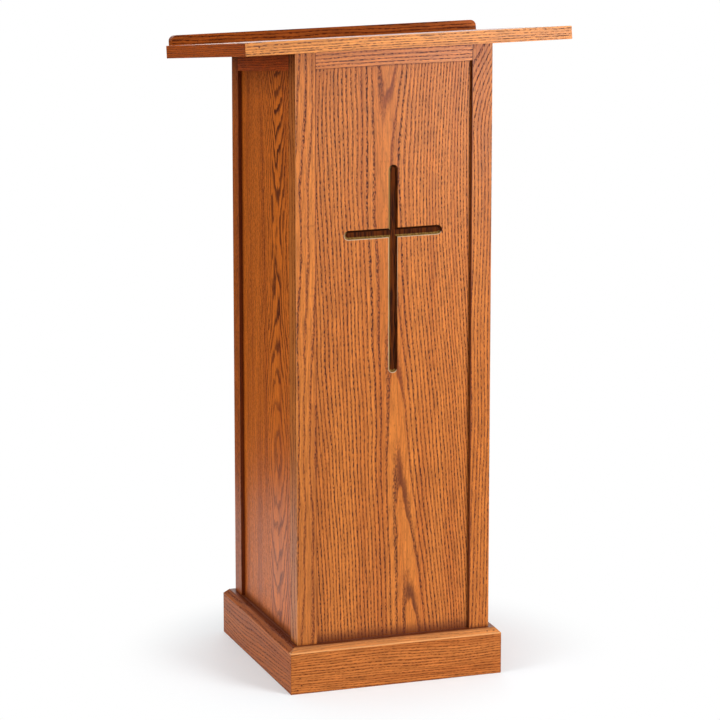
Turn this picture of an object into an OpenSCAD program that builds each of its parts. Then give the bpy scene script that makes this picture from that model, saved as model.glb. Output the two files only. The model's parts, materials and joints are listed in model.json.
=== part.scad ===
// Free-standing church lectern in stained oak: a framed column on a plinth, a sloping desk with a book stop,
// and an open back with one shelf. Lengths are in millimetres and angles in degrees.
// +Z is up, the decorated front faces -Y and the reader stands on the +Y side.

/* [Column] */
// Width of the column across its front
column_w = 381; // [320:1:480]
// Depth of the column from its front face to its back
column_d = 385; // [320:1:460]
// Height of the front face, from the floor to the underside of the desk
column_h = 1204.5; // [1020:0.5:1300]
// Side of each square corner post
post_w = 39; // [34:0.5:46]
// Thickness of every rail between two posts
rail_t = 26; // [24:0.5:30]
// Height of the top rails of the front and the sides
top_rail_h = 30.5; // [24:0.5:50]
// Height of the top rail of the back, above the opening
rear_rail_h = 45; // [30:1:80]
// Height of the bottom rails, which the plinth hides
bottom_rail_h = 60; // [50:1:80]

/* [Panels] */
// Thickness of the front and side panels
panel_t = 12; // [9:0.5:14]
// How far a panel lies behind the faces of its posts
panel_recess = 7; // [4:0.5:9]
// Depth of the grooves that hold panels and tenons
groove_d = 8; // [5:0.5:10]
// Gap that is left at the bottom of a groove, for the wood to move
panel_slack = 1; // [0.5:0.1:2]

/* [Cross] */
// Height of the routed cross
cross_h = 392; // [250:1:480]
// Length of its arm
cross_w = 191; // [120:1:230]
// Length of the upright above the centre line of the arm
cross_head_l = 127; // [80:1:180]
// Height of the centre line of the arm above the floor
cross_arm_z = 861; // [700:1:880]
// Width of the cut at the face of the panel
cut_w = 18; // [12:0.5:24]
// Width of the flat floor of the cut
cut_floor_w = 9; // [4:0.5:11]
// Depth of the cut
cut_depth = 4.5; // [2:0.5:6]

/* [Plinth] */
// Height of the plinth boards
plinth_h = 89; // [84:1:120]
// Thickness of the plinth boards
plinth_t = 19; // [15:0.5:24]
// Chamfer along the top outer edge
plinth_chamfer = 9.5; // [4:0.5:12]

/* [Desk] */
// Width of the desk
desk_w = 624; // [520:1:760]
// Length of the desk along its slope
desk_l = 501; // [460:1:600]
// Thickness of the desk
desk_t = 24; // [20:0.5:32]
// Slope of the desk down to the reader
desk_slope = 9; // [4:0.5:14]
// How far the lower front edge stands in front of the column
desk_overhang = 88; // [30:1:120]
// Width of the solid lipping round the desk
lipping_w = 19; // [14:0.5:30]

/* [Book stop] */
// Height of the book stop above the desk
stop_h = 19; // [12:0.5:35]
// Thickness of the book stop
stop_t = 19; // [12:0.5:19]
// How far each end of the stop lies inside the edge of the desk
stop_inset = 5.5; // [0:0.5:60]
// Radius of the upper corners at the two ends
stop_corner_r = 11; // [3:0.5:12]

/* [Shelf] */
// Height of the top of the shelf above the floor
shelf_z = 788; // [450:1:850]
// Thickness of the shelf and of the bottom board
shelf_t = 18; // [12:0.5:25]
// Width of the solid nosing on the edge of the shelf
nosing_w = 8; // [4:0.5:15]
// How far the nosing lies inside the back of the column
shelf_setback = 27; // [10:1:80]
// Gap between the shelf and what is round it
shelf_gap = 0.3; // [0.1:0.1:1]
// Side of the square cleats under the shelf and the bottom board
cleat_w = 20; // [16:0.5:26]
// Width of the cleats that hold the desk
desk_cleat_w = 22; // [18:0.5:28]
// Height of the cleats that hold the desk
desk_cleat_h = 25; // [20:0.5:32]

/* [Fasteners] */
// Diameter of every wood screw
screw_d = 4; // [3:0.1:5]
// Diameter of the countersunk screw heads
screw_head_d = 8; // [7:0.1:10]
// Length of the screws that hold the cleats to posts and rails
cleat_screw_l = 32; // [28:1:36]
// Length of the screws that pull the desk down on its cleats
desk_screw_l = 38; // [32:1:42]
// Length of the screws that hold the book stop from below
stop_screw_l = 36; // [30:1:38]
// Number of screws in the book stop
stop_screws = 5; // [2:1:8]
// Length of the screws that hold the plinth boards from inside the column
plinth_screw_l = 38; // [32:1:42]
// Diameter of the pins in the mitres of the plinth and in the lippings of the desk
pin_d = 1.2; // [0.8:0.1:1.8]
// Length of those pins
pin_l = 30; // [22:1:35]
// How deep a pin is set below the surface
pin_set = 1; // [0.5:0.1:2]

/* [Hidden] */
$fn = 48;

OAK = "peru";
DARK_OAK = "sienna";
PALE_OAK = "sandybrown";
INNER_OAK = "burlywood";
STEEL = "silver";

// How far a cutter runs past the surface that it cuts.
past = 1;

// Half the distance between the inner faces of two posts, across the front and along a side.
between_x = column_w / 2 - post_w;
between_y = column_d / 2 - post_w;
// Where the inner faces of the panels and of the rails lie, from the middle of the column.
panel_inside_x = column_w / 2 - panel_recess - panel_t;
panel_inside_y = column_d / 2 - panel_recess - panel_t;
rail_inside_x = column_w / 2 - rail_t;
rail_inside_y = column_d / 2 - rail_t;
// How far a panel or a tenon reaches into its groove.
in_groove = groove_d - panel_slack;

// The desk in the frame of the column: its lower front edge, and its farthest reach towards the reader.
desk_front_y = -column_d / 2 - desk_overhang;
desk_front_z = column_h + desk_overhang * tan(desk_slope);
desk_rear_y = desk_front_y + desk_l * cos(desk_slope) + (desk_t + stop_h) * sin(desk_slope);
// The origin is under the middle of the whole outline, so the column stands a little behind it.
plinth_reach = column_d / 2 + plinth_t;
column_y = -(min(desk_front_y, -plinth_reach) + max(desk_rear_y, plinth_reach)) / 2;

shelf_rear_y = column_d / 2 - shelf_setback;
bottom_cleat_z = plinth_h - shelf_t - cleat_w;
shelf_cleat_z = shelf_z - shelf_t - cleat_w;

// Height of the underside of the desk above the floor, at a depth y of the column.
function underside_z(y) = column_h - (y + column_d / 2) * tan(desk_slope);
// Distance along the underside of the desk, from its front edge to a depth y of the column.
function along_desk(y) = (y - desk_front_y) / cos(desk_slope);

function is_end(side) = side == "front" || side == "rear";
function side_length(side) = is_end(side) ? column_w : column_d;
function side_distance(side) = (is_end(side) ? column_d : column_w) / 2;
function side_angle(side) = side == "front" ? 0 : side == "right" ? 90 : side == "rear" ? 180 : 270;

// Depths at which screws go through the cleats: into posts, into rails, and up into the desk.
shelf_screw_y = [-(between_y + panel_inside_y) / 2, column_d / 2 - post_w / 2];
rail_screw_y = [-between_y * 0.6, between_y * 0.6];
desk_screw_y = [-between_y * 0.8, 0, between_y * 0.8];
plinth_screw_z = plinth_h - bottom_rail_h + (bottom_rail_h - shelf_t - cleat_w) / 2;
// The pins near the left and the right end of a plinth board. Each one's distance from that end is a share
// of the board's thickness, and its height is a share of the board's height.
left_pins = [[0.7, 0.085], [0.94, 0.34], [1.09, 0.185]];
right_pins = [[0.7, 0.94], [1.4, 0.94]];
// The pin in a lipping: its distance from the end of the desk, and from the underside.
lipping_pin_x = lipping_w * 1.4;
lipping_pin_z = desk_t * 0.63;

// Puts a piece that is drawn round the middle of the column in its place.
module placed() {
    translate([0, column_y, 0]) children();
}

// Puts a piece on a side of the column: X runs along the side, Y = 0 is its outer face and +Y goes inwards.
module on_side(side) {
    rotate([0, 0, side_angle(side)]) translate([0, -side_distance(side), 0]) children();
}

// Turns a piece that is drawn for the right-hand side to either hand.
module on_hand(hand) {
    mirror([hand == "left" ? 1 : 0, 0, 0]) children();
}

// Puts a piece on the desk: Y runs from its front edge to the reader, and Z = 0 is its underside.
module on_desk() {
    translate([0, desk_front_y, desk_front_z]) rotate([-desk_slope, 0, 0]) children();
}

// Extrudes an outline drawn in depth and height across the column, from x to x + w.
module across(x, w) {
    translate([x, 0, 0]) rotate([90, 0, 90]) linear_extrude(w) children();
}

// A bar whose upper and lower faces follow the slope of the desk, that much below its underside.
module sloping_bar(x, w, y_from, y_to, top_drop, bottom_drop) {
    across(x, w) polygon([
        [y_from, underside_z(y_from) - bottom_drop],
        [y_to, underside_z(y_to) - bottom_drop],
        [y_to, underside_z(y_to) - top_drop],
        [y_from, underside_z(y_from) - top_drop]
    ]);
}

// Keeps what lies below the underside of the desk.
module under_desk() {
    reach = column_d / 2 + past;
    intersection() {
        children();
        across(-column_w / 2 - past, column_w + 2 * past) polygon([
            [-reach, 0], [reach, 0], [reach, underside_z(reach)], [-reach, underside_z(-reach)]
        ]);
    }
}

// A wood screw that points up from the flat of its countersunk head, with a square drive.
module screw(l) {
    head_h = (screw_head_d - screw_d) / 2;
    tip_l = screw_d;
    drive_w = screw_head_d * 0.3;
    color(STEEL) difference() {
        union() {
            cylinder(d1 = screw_head_d, d2 = screw_d, h = head_h);
            translate([0, 0, head_h]) cylinder(d = screw_d, h = l - head_h - tip_l);
            translate([0, 0, l - tip_l]) cylinder(d1 = screw_d, d2 = screw_d * 0.2, h = tip_l);
        }
        translate([-drive_w / 2, -drive_w / 2, -past]) cube([drive_w, drive_w, past + head_h * 0.8]);
    }
}

// The countersunk hole that such a screw fills.
module screw_hole(l) {
    head_h = (screw_head_d - screw_d) / 2;
    cylinder(d1 = screw_head_d, d2 = screw_d, h = head_h);
    translate([0, 0, head_h]) cylinder(d = screw_d, h = l - head_h);
    translate([0, 0, -past]) cylinder(d = screw_head_d, h = past);
}

// Places for the screws of a cleat on the right-hand side, driven outwards from the face at x.
module outwards(x, z, depths) {
    for (y = depths)
        translate([x, y, z]) rotate([0, 90, 0]) children();
}

// Places for the screws of the sloping cleat, which are driven level into the rail behind it.
module into_top_rail() {
    for (y = rail_screw_y)
        translate([rail_inside_x - desk_cleat_w, y, underside_z(y) - desk_cleat_h / 2]) rotate([0, 90, 0])
            children();
}

// Places for the screws that go up through the sloping cleats into the desk.
module up_into_desk() {
    on_desk()
        for (y = desk_screw_y)
            translate([rail_inside_x - desk_cleat_w / 2, along_desk(y), -desk_cleat_h * cos(desk_slope)])
                children();
}

// Places for the screws that go up through the rear lipping into the book stop.
module up_into_stop() {
    from_end = stop_inset + 4 * screw_head_d;
    span = desk_w - 2 * from_end;
    on_desk()
        for (i = [0 : stop_screws - 1])
            translate([span * (i / (stop_screws - 1) - 0.5), desk_l - stop_t / 2, 0]) children();
}

// Places for the screws that go out through a bottom rail into the plinth board on one side.
module into_plinth(side) {
    span = side_length(side) - 2 * post_w;
    on_side(side)
        for (x = [-span / 3, span / 3])
            translate([x, rail_t, plinth_screw_z]) rotate([90, 0, 0]) children();
}

// Places for the pins in the front and the rear of the plinth, which also hold the mitres.
module into_mitres() {
    for (side = ["front", "rear"], hand = ["left", "right"], pin = hand == "left" ? left_pins : right_pins) {
        x = side_length(side) / 2 + plinth_t * (1 - pin[0]);
        z = plinth_h * pin[1];
        cut_back = max(0, z - plinth_h + plinth_chamfer);
        on_side(side) on_hand(hand) translate([x, cut_back - plinth_t, z]) rotate([-90, 0, 0]) children();
    }
}

// Places for the pins in the front and the rear lipping of the desk.
module into_lippings() {
    on_desk() translate([0, desk_l / 2, 0])
        for (turn = [0, 180])
            rotate([0, 0, turn]) translate([-desk_w / 2 + lipping_pin_x, -desk_l / 2, lipping_pin_z])
                rotate([-90, 0, 0]) children();
}

// A headless pin, set a little below the surface.
module pin() {
    color(STEEL) translate([0, 0, pin_set]) cylinder(d = pin_d, h = pin_l);
}

// The hole of such a pin, which shows in the surface.
module pin_hole() {
    translate([0, 0, -past]) cylinder(d = pin_d, h = past + pin_set + pin_l);
}

// One corner post, with the grooves for its panels and the mortises for the rails of the back.
module post(hand, end) {
    placed() color(OAK) difference() {
        on_hand(hand) under_desk() mirror([0, end == "front" ? 1 : 0, 0]) difference() {
            translate([between_x, between_y, 0]) cube([post_w, post_w, column_h]);
            translate([panel_inside_x, between_y - past, -past])
                cube([panel_t, groove_d + past, column_h + 2 * past]);
            if (end == "front")
                translate([between_x - past, panel_inside_y, -past])
                    cube([groove_d + past, panel_t, column_h + 2 * past]);
            if (end == "rear")
                rear_mortises();
        }
        on_hand(hand) outwards(between_x - cleat_w, shelf_cleat_z + cleat_w / 2, shelf_screw_y)
            screw_hole(cleat_screw_l);
        into_mitres() pin_hole();
    }
}

// The pockets in a rear post that take the tenons of the two rails of the back.
module rear_mortises() {
    translate([between_x - past, panel_inside_y, plinth_h - bottom_rail_h])
        cube([groove_d + past, panel_t, bottom_rail_h]);
    translate([between_x - past, panel_inside_y, underside_z(column_d / 2) - rear_rail_h])
        cube([groove_d + past, panel_t, rear_rail_h + column_h]);
}

// A level rail between two posts. Its tenons fill the grooves of the posts.
module level_rail(side, z_from, h, groove_from) {
    span = side_length(side) - 2 * post_w;
    on_side(side) difference() {
        union() {
            translate([-span / 2, 0, z_from]) cube([span, rail_t, h]);
            translate([-span / 2 - in_groove, panel_recess, z_from]) cube([span + 2 * in_groove, panel_t, h]);
        }
        if (!is_undef(groove_from))
            translate([-side_length(side) / 2, panel_recess, groove_from])
                cube([side_length(side), panel_t, groove_d + past]);
    }
}

// A bottom rail, grooved along its top where a panel stands in it.
module bottom_rail(side) {
    placed() color(OAK) difference() {
        level_rail(side, plinth_h - bottom_rail_h, bottom_rail_h,
            side == "rear" ? undef : plinth_h - groove_d);
        if (!is_end(side))
            on_hand(side)
                outwards(rail_inside_x - cleat_w, bottom_cleat_z + cleat_w / 2, rail_screw_y)
                    screw_hole(cleat_screw_l);
        into_plinth(side) screw_hole(plinth_screw_l);
    }
}

// The top rail of the front, grooved along its lower edge, with its top cut to the slope of the desk.
module front_top_rail() {
    low = column_h - top_rail_h;
    placed() color(OAK) under_desk() level_rail("front", low, top_rail_h + past, low - past);
}

// The top rail of the back, which closes the opening under the desk.
module rear_top_rail() {
    low = underside_z(column_d / 2) - rear_rail_h;
    placed() color(OAK) under_desk() level_rail("rear", low, rear_rail_h + column_d * tan(desk_slope), undef);
}

// The top rail of a side, which follows the slope of the desk.
module side_top_rail(hand) {
    placed() color(OAK) on_hand(hand) difference() {
        union() {
            sloping_bar(rail_inside_x, rail_t, -between_y, between_y, 0, top_rail_h);
            sloping_bar(panel_inside_x, panel_t, -between_y - in_groove, between_y + in_groove, 0,
                top_rail_h - groove_d);
        }
        sloping_bar(panel_inside_x, panel_t, -between_y - groove_d, between_y + groove_d,
            top_rail_h - groove_d, top_rail_h + past);
        into_top_rail() screw_hole(cleat_screw_l);
    }
}

// One stroke of the cross: a cut with a flat floor, sloping walls and round ends, from a to b on the panel.
module stroke(a, b) {
    length = norm(b - a);
    translate([a.x, 0, a.y]) rotate([0, -atan2(b.y - a.y, b.x - a.x), 0]) {
        rotate([90, 0, 90]) linear_extrude(length) polygon([
            [-past, cut_w / 2], [0, cut_w / 2], [cut_depth, cut_floor_w / 2],
            [cut_depth, -cut_floor_w / 2], [0, -cut_w / 2], [-past, -cut_w / 2]
        ]);
        for (x = [0, length])
            translate([x, 0, 0]) rotate([-90, 0, 0]) {
                cylinder(d1 = cut_w, d2 = cut_floor_w, h = cut_depth);
                translate([0, 0, -past]) cylinder(d = cut_w, h = past);
            }
    }
}

// The front panel with the cross routed in its face.
module front_panel() {
    span = column_w - 2 * post_w + 2 * in_groove;
    low = plinth_h - in_groove;
    high = column_h - top_rail_h + in_groove;
    head_z = cross_arm_z + cross_head_l - cut_w / 2;
    foot_z = cross_arm_z + cross_head_l - cross_h + cut_w / 2;
    arm_x = (cross_w - cut_w) / 2;
    placed() color(PALE_OAK) on_side("front") difference() {
        translate([-span / 2, panel_recess, low]) cube([span, panel_t, high - low]);
        translate([0, panel_recess, 0]) {
            stroke([0, foot_z], [0, head_z]);
            stroke([-arm_x, cross_arm_z], [arm_x, cross_arm_z]);
        }
    }
}

// A side panel, whose upper edge follows the slope of the desk.
module side_panel(hand) {
    reach = between_y + in_groove;
    low = plinth_h - in_groove;
    drop = top_rail_h - in_groove;
    placed() color(DARK_OAK) on_hand(hand) across(panel_inside_x, panel_t) polygon([
        [-reach, low], [reach, low], [reach, underside_z(reach) - drop], [-reach, underside_z(-reach) - drop]
    ]);
}

// A board with its ends mitred: Y = 0 is its outer face, l its length there and w its width inwards.
module mitred(l, w, h) {
    linear_extrude(h) polygon([[-l / 2, 0], [l / 2, 0], [l / 2 - w, w], [-l / 2 + w, w]]);
}

// One plinth board: its top outer edge is chamfered, and its ends meet their neighbours in mitres.
module plinth_board(side) {
    l = side_length(side) + 2 * plinth_t;
    placed() color(OAK) difference() {
        on_side(side) translate([0, -plinth_t, 0]) intersection() {
            mitred(l, plinth_t, plinth_h);
            across(-l / 2, l) polygon([
                [0, 0], [plinth_t, 0], [plinth_t, plinth_h], [plinth_chamfer, plinth_h],
                [0, plinth_h - plinth_chamfer]
            ]);
        }
        into_plinth(side) screw_hole(plinth_screw_l);
        into_mitres() pin_hole();
    }
}

// The screws that hold the plinth boards.
module plinth_screws() {
    placed() for (side = ["front", "right", "rear", "left"])
        into_plinth(side) screw(plinth_screw_l);
}

// The pins of the plinth.
module plinth_pins() {
    placed() into_mitres() pin();
}

// The board that closes the column at the top of the plinth, cut out round the four posts.
module bottom_board() {
    wide = 2 * (rail_inside_x - shelf_gap);
    deep = 2 * (rail_inside_y - shelf_gap);
    notch = post_w + shelf_gap;
    placed() color(INNER_OAK) translate([0, 0, plinth_h - shelf_t]) difference() {
        translate([-wide / 2, -deep / 2, 0]) cube([wide, deep, shelf_t]);
        for (x = [-1, 1], y = [-1, 1])
            translate([x * (column_w - notch) / 2, y * (column_d - notch) / 2, shelf_t / 2])
                cube([notch, notch, shelf_t + 2 * past], center = true);
    }
}

// The cleat on a bottom rail that carries the bottom board.
module bottom_cleat(hand) {
    l = 2 * (between_y - shelf_gap);
    placed() color(INNER_OAK) on_hand(hand) difference() {
        translate([rail_inside_x - cleat_w, -l / 2, bottom_cleat_z]) cube([cleat_w, l, cleat_w]);
        outwards(rail_inside_x - cleat_w, bottom_cleat_z + cleat_w / 2, rail_screw_y)
            screw_hole(cleat_screw_l);
    }
}

// The shelf, which lies between the posts.
module shelf() {
    wide = 2 * (between_x - shelf_gap);
    front = -panel_inside_y + shelf_gap;
    placed() color(INNER_OAK) translate([-wide / 2, front, shelf_z - shelf_t])
        cube([wide, shelf_rear_y - nosing_w - front, shelf_t]);
}

// The solid strip along the edge of the shelf that the reader sees.
module shelf_nosing() {
    wide = 2 * (between_x - shelf_gap);
    placed() color(OAK) translate([-wide / 2, shelf_rear_y - nosing_w, shelf_z - shelf_t])
        cube([wide, nosing_w, shelf_t]);
}

// The cleat across a front and a rear post that carries one end of the shelf.
module shelf_cleat(hand) {
    front = -panel_inside_y + shelf_gap;
    placed() color(INNER_OAK) on_hand(hand) difference() {
        translate([between_x - cleat_w, front, shelf_cleat_z])
            cube([cleat_w, column_d / 2 - post_w / 4 - front, cleat_w]);
        outwards(between_x - cleat_w, shelf_cleat_z + cleat_w / 2, shelf_screw_y) screw_hole(cleat_screw_l);
    }
}

// The screws of the level cleats, under the shelf and under the bottom board.
module cleat_screws() {
    placed() for (hand = ["left", "right"]) on_hand(hand) {
        outwards(between_x - cleat_w, shelf_cleat_z + cleat_w / 2, shelf_screw_y) screw(cleat_screw_l);
        outwards(rail_inside_x - cleat_w, bottom_cleat_z + cleat_w / 2, rail_screw_y) screw(cleat_screw_l);
    }
}

// The veneered board inside the lippings of the desk.
module desk_board() {
    placed() color(OAK) difference() {
        on_desk() translate([-desk_w / 2 + lipping_w, lipping_w, 0])
            cube([desk_w - 2 * lipping_w, desk_l - 2 * lipping_w, desk_t]);
        for (hand = ["left", "right"]) on_hand(hand)
            up_into_desk() screw_hole(desk_screw_l);
        up_into_stop() screw_hole(stop_screw_l);
        into_lippings() pin_hole();
    }
}

// The mitred lipping along the front or the rear edge of the desk.
module desk_end_lipping(end) {
    placed() color(PALE_OAK) difference() {
        on_desk() translate([0, end == "rear" ? desk_l : 0, 0]) mirror([0, end == "rear" ? 1 : 0, 0])
            mitred(desk_w, lipping_w, desk_t);
        up_into_stop() screw_hole(stop_screw_l);
        into_lippings() pin_hole();
    }
}

// The mitred lipping along one side of the desk.
module desk_side_lipping(hand) {
    placed() color(DARK_OAK) difference() {
        on_desk() on_hand(hand) translate([desk_w / 2, desk_l / 2, 0]) rotate([0, 0, 90])
            mitred(desk_l, lipping_w, desk_t);
        up_into_stop() screw_hole(stop_screw_l);
        into_lippings() pin_hole();
    }
}

// The pins of the lippings.
module lipping_pins() {
    placed() into_lippings() pin();
}

// The cleat inside a top rail that the desk is screwed to.
module desk_cleat(hand) {
    reach = between_y - shelf_gap;
    placed() color(INNER_OAK) on_hand(hand) difference() {
        sloping_bar(rail_inside_x - desk_cleat_w, desk_cleat_w, -reach, reach, 0, desk_cleat_h);
        into_top_rail() screw_hole(cleat_screw_l);
        up_into_desk() screw_hole(desk_screw_l);
    }
}

// The screws that hold the sloping cleats to the top rails.
module desk_cleat_screws() {
    placed() for (hand = ["left", "right"]) on_hand(hand)
        into_top_rail() screw(cleat_screw_l);
}

// The screws that pull the desk down on its cleats.
module desk_screws() {
    placed() for (hand = ["left", "right"]) on_hand(hand)
        up_into_desk() screw(desk_screw_l);
}

// The strip along the reader's edge that keeps a book from sliding off.
module book_stop() {
    half = desk_w / 2 - stop_inset;
    r = stop_corner_r;
    placed() color(DARK_OAK) difference() {
        on_desk() translate([0, desk_l, desk_t]) rotate([90, 0, 0]) linear_extrude(stop_t) union() {
            translate([-half, 0]) square([2 * half, stop_h - r]);
            translate([-half + r, 0]) square([2 * (half - r), stop_h]);
            for (x = [-half + r, half - r])
                translate([x, stop_h - r]) circle(r = r);
        }
        up_into_stop() screw_hole(stop_screw_l);
    }
}

// The screws of the book stop.
module book_stop_screws() {
    placed() up_into_stop() screw(stop_screw_l);
}

post("left", "front");  // post_front_left
post("right", "front");  // post_front_right
post("left", "rear");  // post_rear_left
post("right", "rear");  // post_rear_right
front_top_rail();
bottom_rail("front");  // front_bottom_rail
rear_top_rail();
bottom_rail("rear");  // rear_bottom_rail
side_top_rail("left");  // left_top_rail
bottom_rail("left");  // left_bottom_rail
side_top_rail("right");  // right_top_rail
bottom_rail("right");  // right_bottom_rail
front_panel();
side_panel("left");  // left_panel
side_panel("right");  // right_panel
plinth_board("front");  // plinth_front
plinth_board("right");  // plinth_right
plinth_board("rear");  // plinth_rear
plinth_board("left");  // plinth_left
plinth_screws();
plinth_pins();
bottom_board();
bottom_cleat("left");  // bottom_cleat_left
bottom_cleat("right");  // bottom_cleat_right
shelf();
shelf_nosing();
shelf_cleat("left");  // shelf_cleat_left
shelf_cleat("right");  // shelf_cleat_right
cleat_screws();
desk_board();
desk_end_lipping("front");  // desk_lipping_front
desk_end_lipping("rear");  // desk_lipping_rear
desk_side_lipping("left");  // desk_lipping_left
desk_side_lipping("right");  // desk_lipping_right
lipping_pins();
desk_cleat("left");  // desk_cleat_left
desk_cleat("right");  // desk_cleat_right
desk_cleat_screws();
desk_screws();
book_stop();
book_stop_screws();
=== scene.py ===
"""A free-standing church lectern in stained red oak: a framed column on a plinth, a sloping desk with a
book stop, and an open back with one shelf. Lengths are in metres, and the front with the cross faces -Y."""

import itertools
import json
import math

import bmesh
import bpy
import numpy as np
from mathutils import Matrix, Vector

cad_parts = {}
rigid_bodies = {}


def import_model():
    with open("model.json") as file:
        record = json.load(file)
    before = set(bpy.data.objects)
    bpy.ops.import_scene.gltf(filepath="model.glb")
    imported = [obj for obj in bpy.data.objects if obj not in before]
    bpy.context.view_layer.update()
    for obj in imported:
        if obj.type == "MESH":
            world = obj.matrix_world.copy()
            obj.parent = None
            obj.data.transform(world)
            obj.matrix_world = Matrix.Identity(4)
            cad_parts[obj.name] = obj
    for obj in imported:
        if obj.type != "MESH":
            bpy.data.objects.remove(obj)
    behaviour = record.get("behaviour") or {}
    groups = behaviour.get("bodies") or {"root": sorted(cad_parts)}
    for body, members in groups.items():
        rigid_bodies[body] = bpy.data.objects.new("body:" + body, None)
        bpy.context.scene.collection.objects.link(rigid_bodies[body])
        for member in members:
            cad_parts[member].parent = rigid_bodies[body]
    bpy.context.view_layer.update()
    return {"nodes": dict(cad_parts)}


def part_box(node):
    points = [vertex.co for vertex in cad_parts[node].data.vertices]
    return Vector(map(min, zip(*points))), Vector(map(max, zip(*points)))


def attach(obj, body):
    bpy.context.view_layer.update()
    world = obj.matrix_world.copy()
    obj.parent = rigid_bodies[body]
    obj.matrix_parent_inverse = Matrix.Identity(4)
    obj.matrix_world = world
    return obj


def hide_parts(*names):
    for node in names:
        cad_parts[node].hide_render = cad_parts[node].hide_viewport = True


for leftover in list(bpy.data.objects):
    bpy.data.objects.remove(leftover)
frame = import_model()
scene = bpy.context.scene


# The photographer stands in front and a little to the left, with a long lens just above the height of
# the desk. The angles and the distance are those at which the lectern's edges fall where the photograph
# has them.
view_turn = math.radians(-19.134)
view_rise = math.radians(13.414)
view_distance = 7.613
aimed_at = Vector((0, 0.0297, 0.5787))
away = Vector((
    math.sin(view_turn) * math.cos(view_rise),
    -math.cos(view_turn) * math.cos(view_rise),
    math.sin(view_rise),
))
camera = bpy.data.cameras.new("photographer")
camera.sensor_width = 36
camera.lens = 200.7
photographer = bpy.data.objects.new("photographer", camera)
photographer.location = aimed_at + away * view_distance
photographer.rotation_euler = away.to_track_quat("Z", "Y").to_euler()
scene.collection.objects.link(photographer)
scene.camera = photographer
scene.view_settings.view_transform = "Standard"


# The studio: a round pale floor, a large soft lamp on the right, a fill on the left, and plain light from
# above. Floor and backdrop show white by their own colour, and the floor keeps the lectern's shadow. A dark
# flag on the left, out of the picture, keeps the white of the backdrop off the lacquer of that side.
class Recipe:
    """The steps of one finish or shape, laid down as nodes in its tree."""

    def __init__(self, tree):
        self.tree = tree

    def put(self, kind, feeds=(), **settings):
        """Adds a node and feeds it."""
        made = self.tree.nodes.new(kind)
        for setting, value in settings.items():
            setattr(made, setting, value)
        self.feed(made, feeds)
        return made

    def feed(self, node, feeds):
        """Gives each socket, by name or number, a value or the output that feeds it."""
        for socket, value in dict(feeds).items():
            if isinstance(value, bpy.types.NodeSocket):
                self.tree.links.new(value, node.inputs[socket])
            else:
                node.inputs[socket].default_value = value

    def get(self, kind, feeds=(), **settings):
        """Adds a node and gives its first output."""
        return self.put(kind, feeds, **settings).outputs[0]

    def reckon(self, operation, first, *others):
        for other in others or (0.0,):
            first = self.get("ShaderNodeMath", {0: first, 1: other}, operation=operation)
        return first

    def plus(self, *numbers):
        return self.reckon("ADD", *numbers)

    def less(self, *numbers):
        return self.reckon("SUBTRACT", *numbers)

    def times(self, *numbers):
        return self.reckon("MULTIPLY", *numbers)

    def share(self, *numbers):
        return self.reckon("DIVIDE", *numbers)

    def most(self, *numbers):
        return self.reckon("MAXIMUM", *numbers)

    def size_of(self, number):
        return self.reckon("ABSOLUTE", number)

    def parts(self, place):
        """The three parts of a place or a direction."""
        return self.put("ShaderNodeSeparateXYZ", {0: place}).outputs

    def whole(self, x=0.0, y=0.0, z=0.0):
        """A place or a direction from its three parts."""
        return self.get("ShaderNodeCombineXYZ", {0: x, 1: y, 2: z})

    def eased(self, value, start, end, low=0.0, high=1.0):
        """Goes smoothly from low, where the value is at start, to high at end."""
        feeds = {"Value": value, "From Min": start, "From Max": end, "To Min": low, "To Max": high}
        return self.get("ShaderNodeMapRange", feeds, interpolation_type="SMOOTHSTEP")

    def looked_at(self, in_shine=1.0):
        """1 where the camera looks, straight or by way of a clear surface, in_shine by way of a shiny
        one, and 0 for plain light."""
        rays = self.put("ShaderNodeLightPath").outputs
        shiny = self.times(rays["Is Glossy Ray"], in_shine)
        return self.most(rays["Is Camera Ray"], rays["Is Transmission Ray"], shiny)


def blank(surface, kind=Recipe):
    """The recipe for a material or a world, which starts without nodes."""
    surface.use_nodes = True
    surface.node_tree.nodes.clear()
    return kind(surface.node_tree)


floor_radius = 1.3
floor_gap = 0.0002
floor_white = (0.745, 0.785, 0.81, 1)
floor_lift = 0.2
shadow_full_to = 0.25
shadow_gone_at = 0.5

floor_mesh = bpy.data.meshes.new("studio_floor")
disc = bmesh.new()
bmesh.ops.create_circle(disc, cap_ends=True, segments=64, radius=floor_radius)
disc.to_mesh(floor_mesh)
disc.free()
studio_floor = bpy.data.objects.new("studio_floor", floor_mesh)
studio_floor.location.z = -floor_gap
scene.collection.objects.link(studio_floor)

pale_floor = bpy.data.materials.new("pale_floor")
recipe = blank(pale_floor)
seen = recipe.looked_at()
place = recipe.put("ShaderNodeTexCoord").outputs["Object"]
distance = recipe.put("ShaderNodeVectorMath", {0: place}, operation="LENGTH").outputs["Value"]
paint = recipe.get("ShaderNodeBsdfDiffuse", {"Color": floor_white})
lift = recipe.get("ShaderNodeEmission", {"Strength": recipe.times(seen, floor_lift)})
near = recipe.get("ShaderNodeAddShader", {0: paint, 1: lift})
white = recipe.get("ShaderNodeEmission", {"Strength": 1.0})
far = recipe.times(seen, recipe.eased(distance, shadow_full_to, shadow_gone_at))
surface = recipe.get("ShaderNodeMixShader", {0: far, 1: near, 2: white})
from_below = recipe.put("ShaderNodeNewGeometry").outputs["Backfacing"]
clear = recipe.get("ShaderNodeBsdfTransparent")
surface = recipe.get("ShaderNodeMixShader", {0: from_below, 1: surface, 2: clear})
recipe.put("ShaderNodeOutputMaterial", {"Surface": surface})
floor_mesh.materials.append(pale_floor)

light_from_above = 0.5
light_from_below = 0.04
below_height = -0.15
above_height = 0.4
flag_ends = 0.1
flag_clear = 0.6

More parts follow.
